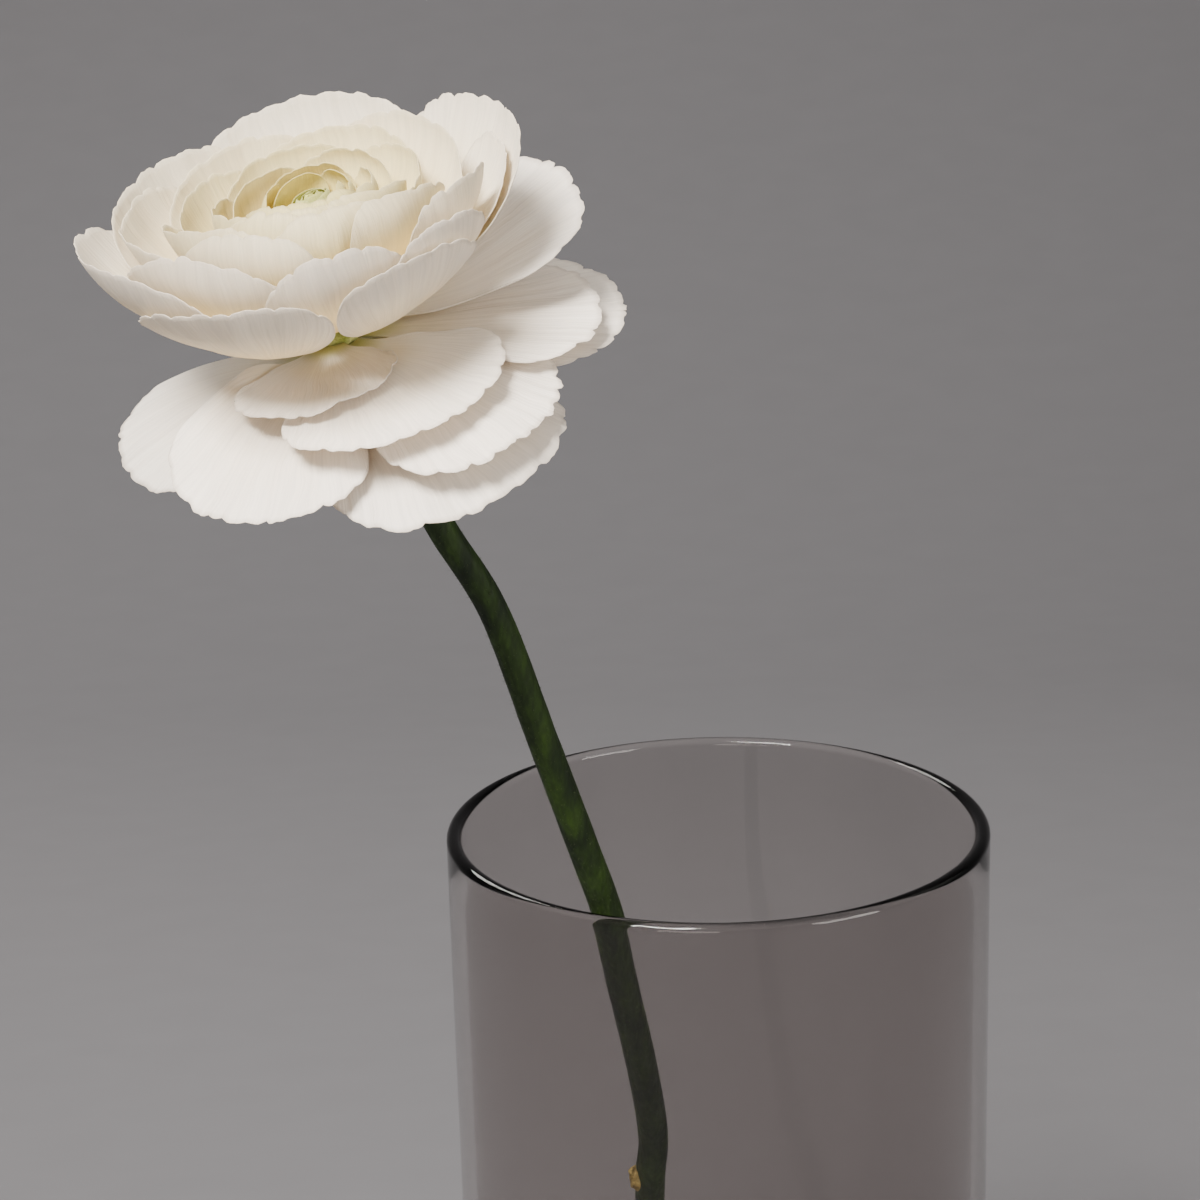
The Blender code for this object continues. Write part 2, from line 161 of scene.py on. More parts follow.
def petalPiece(name, grid, half, finish, facts, replaces=(), paintedShade=1.0):
    # a thin closed petal with a rounded edge; grid is its middle surface in flower mm
    rows, columns = grid.shape[:2]
    normals = gridNormals(grid)
    middle = normals[rows // 2, columns // 2]
    away = grid[rows // 2, columns // 2] * np.array([1.0, 1.0, 0.0])
    outer = float(middle @ (unit(away) - np.array([0.0, 0.0, 1.0])) > 0.0)
    upper = grid + normals * half[..., None]
    lower = grid - normals * half[..., None]
    ring = borderOf(rows, columns)
    inside = [(min(max(r, 1), rows - 2), min(max(c, 1), columns - 2)) for r, c in ring]
    edge = np.array([grid[r, c] for r, c in ring])
    outwards = edge - np.array([grid[r, c] for r, c in inside])
    outwards /= np.maximum(np.linalg.norm(outwards, axis=1, keepdims=True), 1e-9)
    thick = np.array([half[r, c] for r, c in ring])
    edge = edge + outwards * thick[:, None] * 0.9
    points = np.concatenate([upper.reshape(-1, 3), lower.reshape(-1, 3), edge])
    below = rows * columns
    rim = 2 * below
    flat = np.arange(below).reshape(rows, columns)
    a, b, c, d = flat[:-1, :-1], flat[:-1, 1:], flat[1:, 1:], flat[1:, :-1]
    polygons = np.stack([a, d, c, b], axis=-1).reshape(-1, 4).tolist()
    polygons += (np.stack([a, b, c, d], axis=-1).reshape(-1, 4) + below).tolist()
    ringAt = [r * columns + c for r, c in ring]
    count = len(ring)
    for here in range(count):
        after = (here + 1) % count
        polygons.append((ringAt[here], ringAt[after], rim + after, rim + here))
        polygons.append((rim + here, rim + after, ringAt[after] + below, ringAt[here] + below))
    piece = addMesh(name, toWorld(points), polygons, finish, replaces)
    markPetal(piece.data, rows, columns, ringAt, facts, outer, paintedShade)
    return piece


def newFinish(name):
    made = bpy.data.materials.new(name)
    made.use_nodes = True
    nodes, links = made.node_tree.nodes, made.node_tree.links
    nodes.clear()
    out = nodes.new("ShaderNodeOutputMaterial")
    shader = nodes.new("ShaderNodeBsdfPrincipled")
    links.new(shader.outputs["BSDF"], out.inputs["Surface"])
    return made, nodes, links, shader, out


def mathNode(nodes, links, kind, first, second, clamp=False):
    node = nodes.new("ShaderNodeMath")
    node.operation = kind
    node.use_clamp = clamp
    for socket, value in zip(node.inputs, (first, second)):
        if isinstance(value, (int, float)):
            socket.default_value = value
        elif value is not None:
            links.new(value, socket)
    return node.outputs[0]


def mixColour(nodes, links, kind, share, first, second):
    node = nodes.new("ShaderNodeMix")
    node.data_type = "RGBA"
    node.blend_type = kind
    for socket, value in ((node.inputs[0], share), (node.inputs[6], first), (node.inputs[7], second)):
        if isinstance(value, (int, float)):
            socket.default_value = value
        elif isinstance(value, tuple):
            socket.default_value = (*value, 1.0)
        else:
            links.new(value, socket)
    return node.outputs[2]


def ramp(nodes, links, value, stops, ease="LINEAR"):
    node = nodes.new("ShaderNodeValToRGB")
    node.color_ramp.interpolation = ease
    elements = node.color_ramp.elements
    while len(elements) > 1:
        elements.remove(elements[-1])
    elements[0].position = stops[0][0]
    elements[0].color = (*stops[0][1], 1.0)
    for place, colour in stops[1:]:
        made = elements.new(place)
        made.color = (*colour, 1.0)
    links.new(value, node.inputs[0])
    return node.outputs[0]


def grey(value):
    return (value, value, value)


petalLook = {
    "claw": (0.62, 0.57, 0.18),      # yellow-green where the petal is attached
    "low": (0.90, 0.75, 0.34),       # deep cream above it
    "middle": (0.96, 0.86, 0.62),
    "rim": (0.965, 0.905, 0.785),
    "innerTint": (0.97, 0.93, 0.40), # the smallest petals are yellower
    "outerRimShade": (0.79, 0.785, 0.81), # painted shade: the outside of a petal is multiplied by this towards its rim painted shade: both faces are multiplied by this at the very edge
    "edge": (0.84, 0.82, 0.80),      # and its very edge
    "veins": 62.0,                   # streaks from side to side
    "veinDepth": 0.09,               # how much they darken
    "veinRelief": 0.05,              # mm
    "throughLight": 0.30,            # share of light that passes through
    "roughness": 0.5,
}


def petalFinish(name, look):
    made, nodes, links, shader, out = newFinish(name)
    uv = nodes.new("ShaderNodeUVMap")
    uv.uv_map = "petalMap"
    split = nodes.new("ShaderNodeSeparateXYZ")
    links.new(uv.outputs[0], split.inputs[0])
    facts = nodes.new("ShaderNodeAttribute")
    facts.attribute_name = "petalFacts"
    factSplit = nodes.new("ShaderNodeSeparateColor")
    links.new(facts.outputs["Color"], factSplit.inputs[0])
    level, luck, face = factSplit.outputs[0], factSplit.outputs[1], factSplit.outputs[2]
    across, along = split.outputs[0], split.outputs[1]

    # slow wander, so that the veins aren't ruled lines
    wander = nodes.new("ShaderNodeTexNoise")
    wander.inputs["Scale"].default_value = 1.0
    wander.inputs["Detail"].default_value = 2.0
    wanderAt = nodes.new("ShaderNodeCombineXYZ")
    links.new(mathNode(nodes, links, "MULTIPLY", across, 6.0), wanderAt.inputs[0])
    links.new(mathNode(nodes, links, "MULTIPLY", along, 3.0), wanderAt.inputs[1])
    links.new(mathNode(nodes, links, "MULTIPLY", luck, 37.0), wanderAt.inputs[2])
    links.new(wanderAt.outputs[0], wander.inputs["Vector"])
    shifted = mathNode(nodes, links, "MULTIPLY_ADD", wander.outputs["Fac"], 0.05)
    links.new(across, shifted.node.inputs[2])

    def streaks(lines, stretch, detail):
        spot = nodes.new("ShaderNodeCombineXYZ")
        links.new(mathNode(nodes, links, "MULTIPLY", shifted, lines), spot.inputs[0])
        links.new(mathNode(nodes, links, "MULTIPLY", along, stretch), spot.inputs[1])
        links.new(mathNode(nodes, links, "MULTIPLY", luck, 91.0), spot.inputs[2])
        noise = nodes.new("ShaderNodeTexNoise")
        noise.inputs["Scale"].default_value = 1.0
        noise.inputs["Detail"].default_value = detail
        noise.inputs["Roughness"].default_value = 0.55
        links.new(spot.outputs[0], noise.inputs["Vector"])
        return noise.outputs["Fac"]

    fine = streaks(look["veins"] * 1.9, 2.6, 3.0)
    broad = streaks(look["veins"] * 0.45, 1.4, 2.0)

    # colour along the petal, then yellower for the inner petals, then painted shade towards the rim of the
    # outside face, then veins
    body = ramp(
        nodes, links, along,
        ((0.0, look["claw"]), (0.16, look["low"]), (0.46, look["middle"]), (0.93, look["rim"])),
        "EASE",
    )
    inner = ramp(nodes, links, level, ((0.0, grey(0.95)), (0.35, grey(0.55)), (0.88, grey(0.0))), "EASE")
    tinted = mixColour(nodes, links, "MULTIPLY", inner, body, look["innerTint"])
    darker = ramp(nodes, links, fine, ((0.36, grey(1.0 - look["veinDepth"])), (0.6, grey(1.0))))
    # painted shade: the outside face is greyed towards its rim, where it turns away from the light
    rimShadeRamp = ramp(nodes, links, along, ((0.50, grey(0.0)), (0.88, grey(1.0))), "EASE")
    outerRimShadeMask = mathNode(nodes, links, "MULTIPLY", rimShadeRamp, face, True)
    rimShaded = mixColour(nodes, links, "MULTIPLY", outerRimShadeMask, tinted, look["outerRimShade"])
    veined = mixColour(nodes, links, "MULTIPLY", 1.0, rimShaded, darker)
    # painted shade: the very edge of both faces is greyed
    last = ramp(nodes, links, along, ((0.965, grey(1.0)), (0.99, look["edge"])))
    veined = mixColour(nodes, links, "MULTIPLY", 1.0, veined, last)
    cloud = ramp(nodes, links, broad, ((0.3, (0.955, 0.94, 0.92)), (0.62, grey(1.0))))
    clouded = mixColour(nodes, links, "MULTIPLY", 0.7, veined, cloud)
    # painted shade: a petal whose shade value is under 1 is that much darker all over
    clouded = mixColour(nodes, links, "MULTIPLY", 1.0, clouded, facts.outputs["Alpha"])
    links.new(clouded, shader.inputs["Base Color"])

    rough = ramp(
        nodes, links, fine,
        ((0.3, grey(look["roughness"] + 0.08)), (0.7, grey(look["roughness"] - 0.05))),
    )
    links.new(rough, shader.inputs["Roughness"])
    shader.inputs["Specular IOR Level"].default_value = 0.32
    shader.inputs["Sheen Weight"].default_value = 0.12
    shader.inputs["Sheen Roughness"].default_value = 0.4

    relief = mathNode(nodes, links, "MULTIPLY_ADD", fine, 0.6)
    links.new(mathNode(nodes, links, "MULTIPLY", broad, 0.9), relief.node.inputs[2])
    fade = ramp(nodes, links, along, ((0.1, grey(0.35)), (0.8, grey(1.0))))
    faded = mathNode(nodes, links, "MULTIPLY", relief, fade)
    bump = nodes.new("ShaderNodeBump")
    bump.inputs["Strength"].default_value = 0.8
    bump.inputs["Distance"].default_value = look["veinRelief"] * mm * 4
    links.new(faded, bump.inputs["Height"])
    links.new(bump.outputs[0], shader.inputs["Normal"])

    through = nodes.new("ShaderNodeBsdfTranslucent")
    glow = mixColour(nodes, links, "MULTIPLY", 1.0, clouded, (1.0, 0.955, 0.86))
    links.new(glow, through.inputs["Color"])
    links.new(bump.outputs[0], through.inputs["Normal"])
    join = nodes.new("ShaderNodeMixShader")
    join.inputs[0].default_value = look["throughLight"]
    links.new(shader.outputs[0], join.inputs[1])
    links.new(through.outputs[0], join.inputs[2])
    links.new(join.outputs[0], out.inputs["Surface"])
    return made


bowlFinish = petalFinish("bowlPetalCream", petalLook)
skirtLook = {
    **petalLook,
    "veins": 84.0,
    "veinRelief": 0.07,
    "low": (0.94, 0.85, 0.66),
    "middle": (0.96, 0.885, 0.78),
    "rim": (0.965, 0.91, 0.835),
}
skirtFinish = petalFinish("skirtPetalWhite", skirtLook)

# the cupped petals, each on a shell of its own outside the one before
bowl = {
    "count": 37,
    "goldenAngle": 137.5,
    "outermostTurn": 250.0,
    # each shell's rim, from the innermost shell (0) to the outermost (1), in mm and degrees:
    # open at the back and sides, closed at the front
    "levels": (0.0, 0.14, 0.42, 0.5, 0.64, 0.75, 0.82, 1.0),
    "openRadius": (4.0, 6.6, 16.5, 19.0, 23.0, 28.5, 30.9, 33.4),
    "openHeight": (21.6, 21.6, 21.4, 21.6, 21.9, 22.1, 22.3, 22.6),
    "openLean": (-52.0, -38.0, -6.0, -1.0, 3.0, 6.0, 8.0, 13.0),
    "frontRadius": (3.8, 5.2, 8.2, 10.4, 14.4, 19.6, 24.0, 28.8),
    "frontHeight": (21.4, 22.0, 22.8, 23.0, 23.4, 23.4, 23.6, 21.8),
    "frontLean": (-54.0, -56.0, -50.0, -48.0, -40.0, -28.0, -12.0, 6.0),
    "frontTurn": 270.0,
    "frontSpread": (38.0, 92.0),  # degrees from there: wholly closed, and wholly open
    "halfWidth": (56.0, 43.0),
    "cup": 0.8,
    "baseRise": 24.0,
    "heartShift": (2.4, 1.8),
    "corner": 0.6,
    "outline": 2.8,
    "rows": 30,
    "columns": 97,
    "lobe": (2.4, 6.0),         # mm, shortest and longest lobe of the rim
    "lobeDepth": 0.95,          # mm, deepest notch between lobes
    "ruffle": 0.38,             # mm, in and out along the rim
    "curl": 0.2,                # mm, how far the rim turns out
    "thickness": (0.34, 0.13),  # at the base and at the rim
    # single petals that differ: where they are, shares of the usual width and length,
    # a tilted rim, an opened tip in mm
    "special": {
        37: {"turn": 244.0, "width": 0.85, "length": 0.95, "tilt": 0.06, "corner": 0.74, "outline": 3.4},
        36: {"turn": 311.0, "width": 0.68, "length": 0.94, "tilt": -0.07, "corner": 0.7, "outline": 3.0},
        35: {"turn": 27.0, "width": 0.80, "corner": 0.72, "outline": 3.2, "open": 1.2},
        34: {"turn": 200.0, "width": 0.95, "corner": 0.74, "outline": 3.2},
        33: {"turn": 322.0, "width": 0.54, "length": 0.97},
        32: {"turn": 12.0, "width": 0.46, "length": 0.93, "corner": 0.75},
        31: {"turn": 285.0, "width": 0.64},
        30: {"turn": 93.0},
        29: {"turn": 230.0, "width": 0.9},
        28: {"turn": 145.0, "width": 0.92},
        27: {"turn": 345.0, "width": 0.55},
        24: {"turn": 240.0, "width": 0.9},
        22: {"turn": 332.0, "width": 0.7},
    },
}


def bowlProfile(level, direction):
    # the four points of the curve from base to rim, for every direction of one shell
    angle = np.radians(mix(14.0, 90.0, level))
    out = unit((np.sin(angle) / flower["domeRadius"], np.cos(angle) / flower["domeHeight"]))
    base = np.array([flower["domeRadius"] * np.sin(angle), flower["domeHeight"] * np.cos(angle)])
    base = base + out * flower["standoff"]
    rise = np.radians(bowl["baseRise"] * level)
    way = unit((out[0] * np.cos(rise) - out[1] * np.sin(rise), out[1] + np.sin(rise)))
    apart = np.abs((direction - bowl["frontTurn"] + 180.0) % 360.0 - 180.0)
    closed, opened = bowl["frontSpread"]
    front = ease((opened - apart) / (opened - closed))
    reach, height, lean = (
        mix(*(np.interp(level, bowl["levels"], bowl[side + what]) for side in ("open", "front")), front)
        for what in ("Radius", "Height", "Lean")
    )
    lean = np.radians(lean)
    rim = np.stack([reach, height], axis=-1)
    far = np.linalg.norm(rim - base, axis=-1)[..., None]
    second = base + way * far * mix(0.36, 0.34, level)
    third = rim - np.stack([np.sin(lean), np.cos(lean)], axis=-1) * far * mix(0.36, 0.42, level)
    return base, second, third, rim


def roundedTop(across, corner, outline=2.4):
    return corner + (1.0 - corner) * (1.0 - np.abs(across) ** outline) ** 0.5


def petalPlaces(rows, columns):
    across = np.sin(np.linspace(-0.5, 0.5, columns) * np.pi * 0.985)[None, :]
    up = np.linspace(0.0, 1.0, rows)[:, None] ** 0.85
    return across, up


def lobes(place, chance, shortest, longest):
    # rounded lobes with narrow notches, 0 at the deepest notch and 1 on the tallest lobe
    low, high = place.min() - 1.0, place.max() + 1.0
    ends = [low]
    while ends[-1] < high:
        ends.append(ends[-1] + chance.uniform(shortest, longest))
    ends = np.array(ends)
    tall = chance.uniform(0.45, 1.0, len(ends))
    which = np.clip(np.searchsorted(ends, place) - 1, 0, len(ends) - 2)
    share = (place - ends[which]) / (ends[which + 1] - ends[which])
    notch = 0.5 * (tall[which] + tall[np.minimum(which + 1, len(ends) - 1)])
    return tall[which] * (1.0 - np.abs(2.0 * share - 1.0) ** 2.6) ** 0.6 - 0.25 * notch


def bowlGrid(level, turn, special, chance, rows, columns):
    turn = special.get("turn", turn)
    length = special.get("length", 1.0)
    halfWidth = np.radians(mix(*bowl["halfWidth"], level)) * special.get("width", 1.0)
    across, up = petalPlaces(rows, columns)
    spread = mix(mix(0.5, 0.28, level), 1.0, ease(up / mix(0.55, 0.95, level)) ** mix(1.0, 1.3, level))
    angle = np.radians(turn) + halfWidth * across * spread
    middle = bowlProfile(level, np.array(float(turn)))
    tall = np.linalg.norm(middle[3] - middle[0]) * 1.15
    wide = 2.0 * halfWidth * middle[3][0]
    place = across * wide * 0.5
    cut = bowl["lobeDepth"] * (lobes(place, chance, *bowl["lobe"]) - 0.6)
    cut = cut + 0.12 * swing(place, chance, 2.0, 4.5, 4)
    corner = special.get("corner", bowl["corner"])
    outline = roundedTop(across, corner, special.get("outline", bowl["outline"]))
    outline = outline + special.get("tilt", 0.03 * chance.uniform(-1, 1)) * across
    share = up * outline * length + cut / tall * up**7
    share = np.clip(share, 0.0, 1.04)
    ends = bowlProfile(level, np.degrees(angle))
    spot = curveSpot(ends, share)
    cup = bowl["cup"] * mix(0.4, 1.0, level) * across**2 * ease(share / 0.5)
    reach = spot[..., 0] - cup + special.get("open", 0.0) * up**3 * (1.0 - 0.6 * across**2)
    shift = (1.0 - level) * ease(share)
    grid = np.stack(
        [
            reach * np.cos(angle) + bowl["heartShift"][0] * shift,
            reach * np.sin(angle) + bowl["heartShift"][1] * shift,
            spot[..., 1],
        ],
        axis=-1,
    )
    # ruffles and a turned-out rim, along the petal's own normal
    normals = gridNormals(grid)
    size = mix(0.45, 1.0, level)
    wave = swing(place / 4.5, chance, 1.2, 3.2, 4)
    pleats = swing(place / 1.1, chance, 1.8, 3.6, 4)
    bulge = bowl["ruffle"] * size * (wave * up**3 + 0.22 * pleats * up**5)
    bulge = bulge + bowl["curl"] * size * chance.uniform(-0.1, 1.0) * up**6
    side = np.sign(normals[rows // 2, columns // 2][:2] @ grid[rows // 2, columns // 2][:2])
    return grid + normals * bulge[..., None] * side


def thickness(rows, columns, thick):
    up = np.linspace(0.0, 1.0, rows)[:, None] + np.zeros((1, columns))
    return 0.5 * mix(thick[0], thick[1], ease((up - 0.2) / 0.8))


for index in range(bowl["count"]):
    level = index / (bowl["count"] - 1.0)
    chance = np.random.default_rng(500 + index)
    turn = bowl["outermostTurn"] + bowl["goldenAngle"] * (index - bowl["count"] + 1)
    special = bowl["special"].get(index + 1, {})
    rows, columns = bowl["rows"], bowl["columns"]
    grid = bowlGrid(level, turn, special, chance, rows, columns)
    node = f"bowl_petal_{index + 1:02d}"
    petalPiece(f"bowlPetal{index + 1:02d}", grid, thickness(rows, columns, bowl["thickness"]),
               bowlFinish, (level, chance.uniform()), (node,))
print("bowl petals made")

# the opened petals below the bowl, from the top one down: turn, halfWidth and droop in degrees,
# reach, twist, edge and rise in mm; edge lifts the clockwise side, rise lifts the rim,
# and a painted-shade value under 1 paints that whole petal darker
skirt = {
    "firstDrop": 0.8,           # mm below the dome's edge
    "step": 0.5,                # mm from one petal's base down to the next
    "corner": 0.62,
    "baseWidth": 0.62,          # share of the width where the petal is attached
    "rows": 34,
    "columns": 121,
    "lobe": (2.6, 7.0),
    "lobeDepth": 1.25,
    "ruffle": 0.6,
    "thickness": (0.36, 0.14),
    "petals": (
        {"turn": 267, "halfWidth": 44, "reach": 22.5, "droop": 3.0, "skew": -0.16, "rise": 1.2},
        {"turn": 28, "halfWidth": 30, "reach": 44.0, "droop": -9.0, "skew": 0.08, "paintedShade": 0.95},
        {"turn": 298, "halfWidth": 47, "reach": 31.5, "droop": 5.3, "rise": 1.3},
        {"turn": 5, "halfWidth": 31, "reach": 39.8, "droop": 7.6, "rise": 0.8},
        {"turn": 316, "halfWidth": 34, "reach": 37.8, "droop": 9.8},
        {"turn": 246, "halfWidth": 34, "reach": 36.5, "droop": 10.5, "edge": 4.2},
        {"turn": 15, "halfWidth": 33, "reach": 45.0, "droop": 10.6, "skew": 0.11},
        {"turn": 193, "halfWidth": 32, "reach": 36.5, "droop": 10.0, "skew": -0.1, "twist": -2.0,
         "rise": -2.2, "paintedShade": 0.86},
        {"turn": 306, "halfWidth": 42, "reach": 39.5, "droop": 14.2, "rise": -0.6,
         "paintedShade": 0.94},
    ),
}


def neckRadius(height):
    share = np.clip(1.0 + height / flower["neckDepth"], 0.0, 1.0)
    return mix(flower["neckRadius"], flower["domeRadius"], share**1.6)


def skirtProfile(index, petal):
    drop = skirt["firstDrop"] + skirt["step"] * index
    base = np.array([neckRadius(-drop) + flower["standoff"], -drop])
    slope = np.radians(petal["droop"])
    reach = petal["reach"]
    rim = np.array([reach * np.cos(slope), -drop - reach * np.sin(slope)])
    second = base + np.array([reach * 0.33, -0.01 * reach])
    third = rim - np.array([np.cos(slope * 1.6), -np.sin(slope * 1.6)]) * reach * 0.3
    return base, second, third, rim


def skirtGrid(index, petal, chance, rows, columns):
    across, out = petalPlaces(rows, columns)
    width = 2.0 * np.radians(petal["halfWidth"]) * petal["reach"]
    place = across * width * 0.5
    cut = skirt["lobeDepth"] * (lobes(place, chance, *skirt["lobe"]) - 0.6)
    cut = (cut + 0.15 * swing(place, chance, 2.0, 4.5, 4)) / petal["reach"]
    outline = roundedTop(across, skirt["corner"]) * (1.0 + petal.get("skew", 0.0) * across)
    share = out * outline + cut * out**7
    spot = curvePoint(skirtProfile(index, petal), share)
    spread = np.radians(petal["halfWidth"]) * mix(skirt["baseWidth"], 1.0, ease(out / 0.5))
    angle = np.radians(petal["turn"]) + spread * across
    height = spot[..., 1] + petal.get("twist", 0.0) * across * ease(share)
    height = height + petal.get("edge", 0.0) * ease((-across - 0.25) / 0.75) * ease(out / 0.5)
    grid = np.stack([spot[..., 0] * np.cos(angle), spot[..., 0] * np.sin(angle), height], axis=-1)
    normals = gridNormals(grid)
    up = np.sign(normals[rows // 2, columns // 2, 2])
    wave = swing(across * width / 10.0, chance, 1.0, 3.0, 4)
    pleats = swing(across * width / 2.4, chance, 1.8, 3.6, 4)
    lift = skirt["ruffle"] * (wave * out**3 + 0.2 * pleats * out**5)
    lift = lift + petal.get("rise", 0.0) * out**3
    return grid + normals * lift[..., None] * up


for index, petal in enumerate(skirt["petals"]):
    chance = np.random.default_rng(900 + index)
    rows, columns = skirt["rows"], skirt["columns"]
    grid = skirtGrid(index, petal, chance, rows, columns)
    petalPiece(f"skirtPetal{index + 1:02d}", grid, thickness(rows, columns, skirt["thickness"]),
               skirtFinish, (1.0, chance.uniform()), (f"skirt_petal_{index + 1:02d}",),
               petal.get("paintedShade", 1.0))
print("skirt petals made")

# the smallest petals, folded over each other in the middle
heart = {
    "count": 9,
    "radius": (0.7, 3.0),       # mm, innermost and outermost rim
    "height": (20.7, 20.3),
    "halfWidth": (80.0, 62.0),
    "lean": (-66.0, -50.0),
    "slitTurn": 28.0,           # the way the slit in the middle runs
    "pinch": (0.30, 0.72),      # how far the rims are squeezed towards the slit
    "bottom": 7.5,
    "rows": 22,
    "columns": 31,
    "thickness": (0.2, 0.1),
}
heartLook = {
    **petalLook,
    "claw": (0.50, 0.54, 0.10),
    "low": (0.60, 0.63, 0.14),
    "middle": (0.72, 0.75, 0.22),
    "rim": (0.84, 0.84, 0.42),
    "innerTint": (0.90, 0.93, 0.50),
}
heartFinish = petalFinish("heartYellowGreen", heartLook)


def heartGrid(level, turn, chance, rows, columns):
    across, up = petalPlaces(rows, columns)
    halfWidth = np.radians(mix(*heart["halfWidth"], level))
    base = np.array([mix(0.25, 2.0, level), heart["bottom"]])
    rim = np.array([mix(*heart["radius"], level), mix(*heart["height"], level)])
    lean = np.radians(mix(*heart["lean"], level))
    far = np.linalg.norm(rim - base)
    second = base + np.array([0.32, 0.95]) * far * 0.4
    third = rim - np.array([np.sin(lean), np.cos(lean)]) * far * mix(0.10, 0.16, level)
    share = up * roundedTop(across, 0.8, 2.8) + 0.012 * swing(across * 6.0, chance, 1.0, 3.0) * up**6
    spot = curvePoint((base, second, third, rim), share)
    angle = np.radians(turn) + halfWidth * across * mix(0.6, 1.0, ease(up / 0.6))
    squeeze = mix(1.0, mix(*heart["pinch"], level), ease((share - 0.45) / 0.5))
    along, sideways = spot[..., 0] * np.cos(angle), spot[..., 0] * np.sin(angle) * squeeze
    slit = np.radians(heart["slitTurn"])
    shift = ease((spot[..., 1] - heart["bottom"]) / 13.0)
    grid = np.stack(
        [
            along * np.cos(slit) - sideways * np.sin(slit) + bowl["heartShift"][0] * shift,
            along * np.sin(slit) + sideways * np.cos(slit) + bowl["heartShift"][1] * shift,
            spot[..., 1],
        ],
        axis=-1,
    )
    return grid


for index in range(heart["count"]):
    level = index / (heart["count"] - 1.0)
    chance = np.random.default_rng(300 + index)
    rows, columns = heart["rows"], heart["columns"]
    turn = bowl["outermostTurn"] + bowl["goldenAngle"] * index - heart["slitTurn"]
    grid = heartGrid(level, turn, chance, rows, columns)
    petalPiece(f"heartPetal{index + 1}", grid, thickness(rows, columns, heart["thickness"]), heartFinish,
               (level * 0.5, chance.uniform()), ("heart",))


def greenFinish(name, dark, light, scale, roughness, relief, hairs=0.0, stretch=(1.0, 1.0, 1.0)):
    # mottled plant skin; scale is in spots per metre
    made, nodes, links, shader, out = newFinish(name)
    place = nodes.new("ShaderNodeTexCoord")
    spread = nodes.new("ShaderNodeMapping")
    spread.inputs["Scale"].default_value = stretch
    links.new(place.outputs["Object"], spread.inputs["Vector"])
    broad = nodes.new("ShaderNodeTexNoise")
    broad.inputs["Scale"].default_value = scale
    broad.inputs["Detail"].default_value = 5.0
    fine = nodes.new("ShaderNodeTexNoise")
    fine.inputs["Scale"].default_value = scale * 6.0
    fine.inputs["Detail"].default_value = 3.0
    pores = nodes.new("ShaderNodeTexVoronoi")
    pores.inputs["Scale"].default_value = scale * 4.5
    for node in (broad, fine, pores):
        links.new(spread.outputs[0], node.inputs["Vector"])
    colour = ramp(nodes, links, broad.outputs["Fac"], ((0.34, dark), (0.66, light)))
    flecks = ramp(nodes, links, fine.outputs["Fac"], ((0.42, grey(0.72)), (0.62, grey(1.0))))
    mottled = mixColour(nodes, links, "MULTIPLY", 1.0, colour, flecks)
    links.new(mottled, shader.inputs["Base Color"])
    worn, smooth = grey(roughness + 0.12), grey(roughness - 0.08)
    rough = ramp(nodes, links, fine.outputs["Fac"], ((0.3, worn), (0.7, smooth)))
    links.new(rough, shader.inputs["Roughness"])
    shader.inputs["Sheen Weight"].default_value = hairs
    shader.inputs["Sheen Roughness"].default_value = 0.5
    shader.inputs["Specular IOR Level"].default_value = 0.28
    height = mathNode(nodes, links, "ADD", fine.outputs["Fac"], pores.outputs["Distance"])
    bump = nodes.new("ShaderNodeBump")
    bump.inputs["Strength"].default_value = 0.7
    bump.inputs["Distance"].default_value = relief * mm
    links.new(height, bump.inputs["Height"])
    links.new(bump.outputs[0], shader.inputs["Normal"])
    return made


receptacle = {
    "dark": (0.33, 0.37, 0.07),
    "light": (0.62, 0.60, 0.20),
    "sides": 72,
    "rings": 46,
}
receptacleFinish = greenFinish("receptacleYellowGreen", receptacle["dark"], receptacle["light"],
                               420.0, 0.55, 0.12)


def makeReceptacle():
    # a dome with small pits where stamens and petals sit, narrowing to the stem
    line = []
    for angle in np.linspace(0.0, np.pi / 2, receptacle["rings"] // 2 + 1)[1:]:
        line.append((flower["domeRadius"] * np.sin(angle), flower["domeHeight"] * np.cos(angle)))
    for height in np.linspace(0.0, -flower["neckDepth"], receptacle["rings"] // 2)[1:]:
        line.append((float(neckRadius(height)), height))
    turns = np.linspace(0.0, 2 * np.pi, receptacle["sides"], endpoint=False)
    points = [(0.0, 0.0, flower["domeHeight"])]
    for radius, height in line:
        ribs = 1.0 + 0.018 * np.sin(10.0 * turns + height) + 0.012 * np.sin(23.0 * turns - 2.0 * height)
        points += [(radius * k * np.cos(t), radius * k * np.sin(t), height) for t, k in zip(turns, ribs)]
    points.append((0.0, 0.0, -flower["neckDepth"]))
    polygons = turnedFaces(len(line), receptacle["sides"])
    addMesh("receptacle", toWorld(points), polygons, receptacleFinish, ("receptacle",))


makeReceptacle()

sepal = {
    "count": 5,
    "turn": 24.0,
    "reach": 15.5,              # mm from the flower's axis
    "halfWidth": 22.0,
    "drop": 6.1,
    "thickness": (0.42, 0.22),
    "dark": (0.035, 0.075, 0.02),
    "light": (0.09, 0.16, 0.045),
}
sepalFinish = greenFinish("sepalGreen", sepal["dark"], sepal["light"], 300.0, 0.6, 0.1, 0.25)


